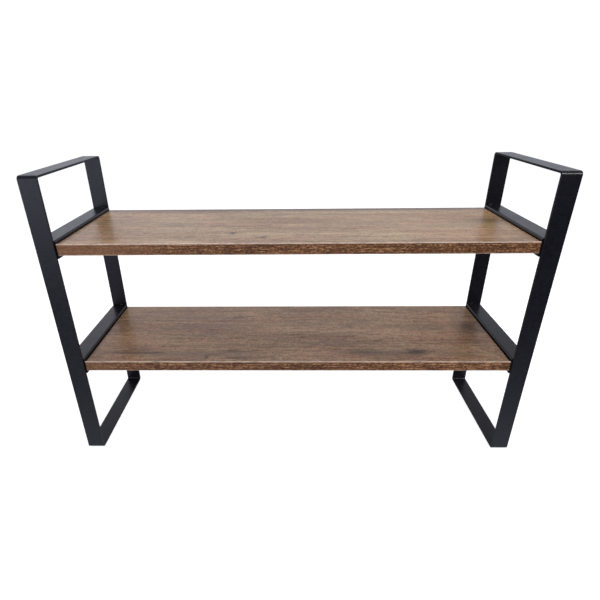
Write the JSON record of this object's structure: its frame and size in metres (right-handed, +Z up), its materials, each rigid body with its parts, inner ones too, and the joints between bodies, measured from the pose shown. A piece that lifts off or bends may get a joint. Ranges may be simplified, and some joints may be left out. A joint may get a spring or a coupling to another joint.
{
  "type": "desk hutch",
  "caption": "Free-standing tiered desk hutch: wood-look boards carried on angle crossbars inside upright flat-bar steel side loops.",
  "frame": {"origin": "centre of the footprint, on the surface that the foot pads stand on", "axes": "+X to the right along the boards, +Y to the back, +Z up"},
  "size_m": [0.68, 0.19, 0.4365],
  "materials": {
    "powder_coat": "satin black powder coat",
    "board_face": "matte rustic brown wood-look laminate, grain along X",
    "edge_band": "matte wood-look band, coarse dark grain",
    "screw_steel": "black zinc",
    "insert_zinc": "bare zinc alloy",
    "pad_rubber": "matte rubber"
  },
  "bodies": {
    "root": {"side_loop_left": "powder_coat", "side_loop_right": "powder_coat", "crossbar_lower_left": "powder_coat", "crossbar_lower_right": "powder_coat", "crossbar_upper_left": "powder_coat", "crossbar_upper_right": "powder_coat", "board_core_lower": "board_face", "board_core_upper": "board_face", "edge_band_lower_front": "edge_band", "edge_band_lower_back": "edge_band", "edge_band_lower_left": "edge_band", "edge_band_lower_right": "edge_band", "edge_band_upper_front": "edge_band", "edge_band_upper_back": "edge_band", "edge_band_upper_left": "edge_band", "edge_band_upper_right": "edge_band", "screw_lower_left_front": "screw_steel", "screw_lower_left_back": "screw_steel", "screw_lower_right_front": "screw_steel", "screw_lower_right_back": "screw_steel", "screw_upper_left_front": "screw_steel", "screw_upper_left_back": "screw_steel", "screw_upper_right_front": "screw_steel", "screw_upper_right_back": "screw_steel", "insert_lower_left_front": "insert_zinc", "insert_lower_left_back": "insert_zinc", "insert_lower_right_front": "insert_zinc", "insert_lower_right_back": "insert_zinc", "insert_upper_left_front": "insert_zinc", "insert_upper_left_back": "insert_zinc", "insert_upper_right_front": "insert_zinc", "insert_upper_right_back": "insert_zinc", "foot_pad_left_front": "pad_rubber", "foot_pad_left_back": "pad_rubber", "foot_pad_right_front": "pad_rubber", "foot_pad_right_back": "pad_rubber"}
  },
  "joints": []
}
